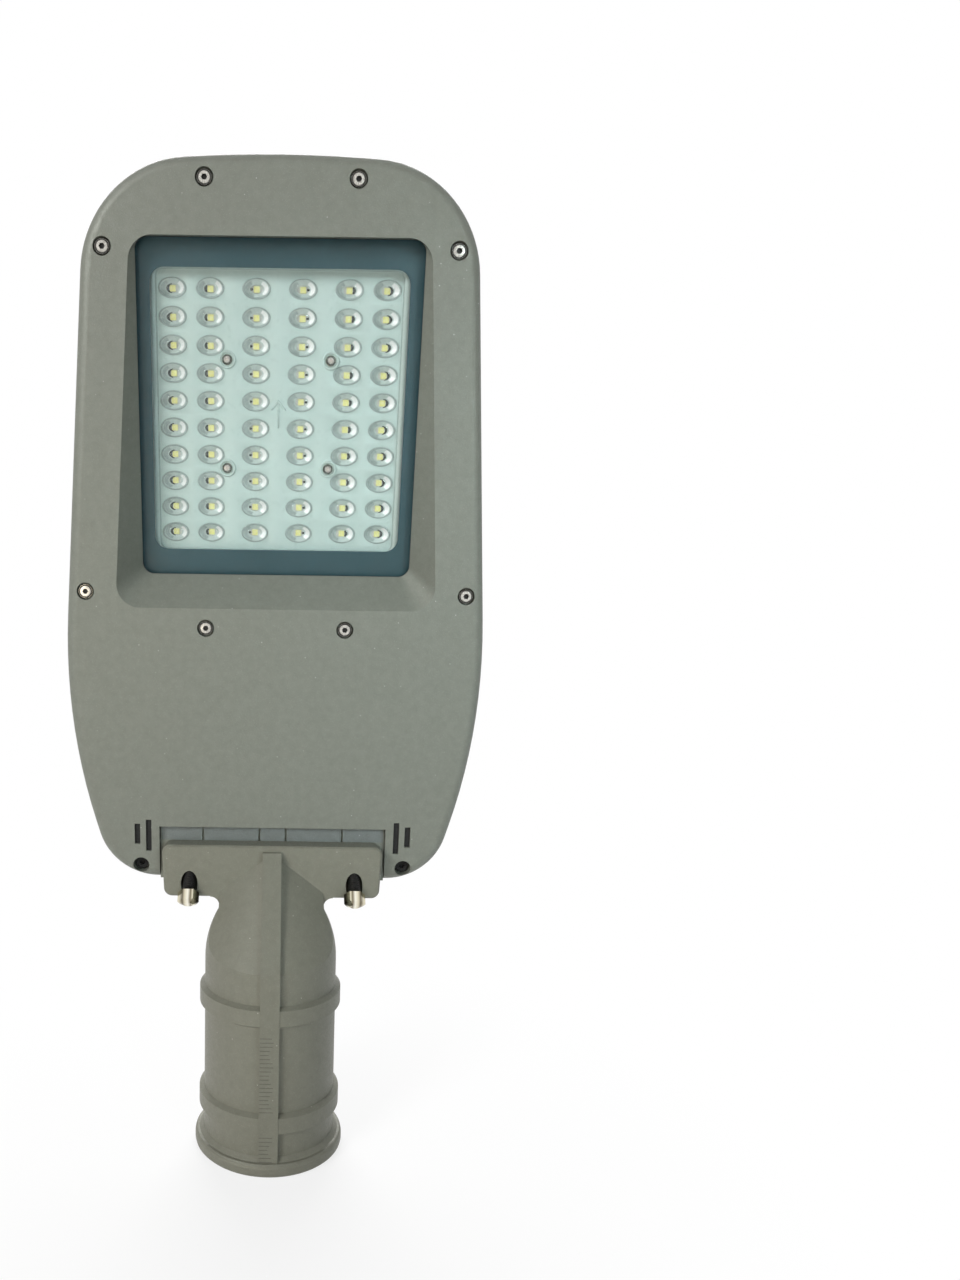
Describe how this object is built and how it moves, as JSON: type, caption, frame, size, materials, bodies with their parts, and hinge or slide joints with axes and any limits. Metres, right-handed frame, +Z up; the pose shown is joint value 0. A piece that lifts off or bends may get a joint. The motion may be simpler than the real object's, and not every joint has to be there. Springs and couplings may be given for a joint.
{
  "type": "led street light",
  "caption": "Cast LED street lamp head with a sunk glass window over a lens plate, a finned back and a driver compartment, on a tubular pole socket.",
  "frame": {"origin": "centre of the pole socket's mouth", "axes": "+Z up the socket's axis towards the lamp head, -Y the way the LEDs face, +X to the right seen from the LED side"},
  "size_m": [0.2214, 0.1229, 0.5093],
  "materials": {
    "cast_body": "textured grey powder coat",
    "seal": "matt",
    "pane": "clear with a dark printed border",
    "lens": "clear moulded",
    "chip": "satin",
    "board": "white solder mask",
    "pad": "matt",
    "driver_case": "satin",
    "module_case": "matt",
    "lead_sheath": "matt",
    "steel": "stainless"
  },
  "bodies": {
    "root": {"housing": "cast_body", "front_cover": "cast_body", "pole_adapter": "cast_body", "cover_gasket": "seal", "glass_gasket": "seal", "cable_grommet": "seal", "window_glass": "pane", "lens_plate": "lens", "led_chips": "chip", "led_board": "board", "thermal_pad": "pad", "led_driver": "driver_case", "surge_protector": "module_case", "terminal_block": "module_case", "led_lead": "lead_sheath", "cover_screws": "steel", "tail_screws": "steel", "lens_screws": "steel", "glass_clips": "steel", "clip_screws": "steel", "driver_screws": "steel", "terminal_screws": "steel", "flange_bolts": "steel", "clamp_screws": "steel"}
  },
  "joints": []
}
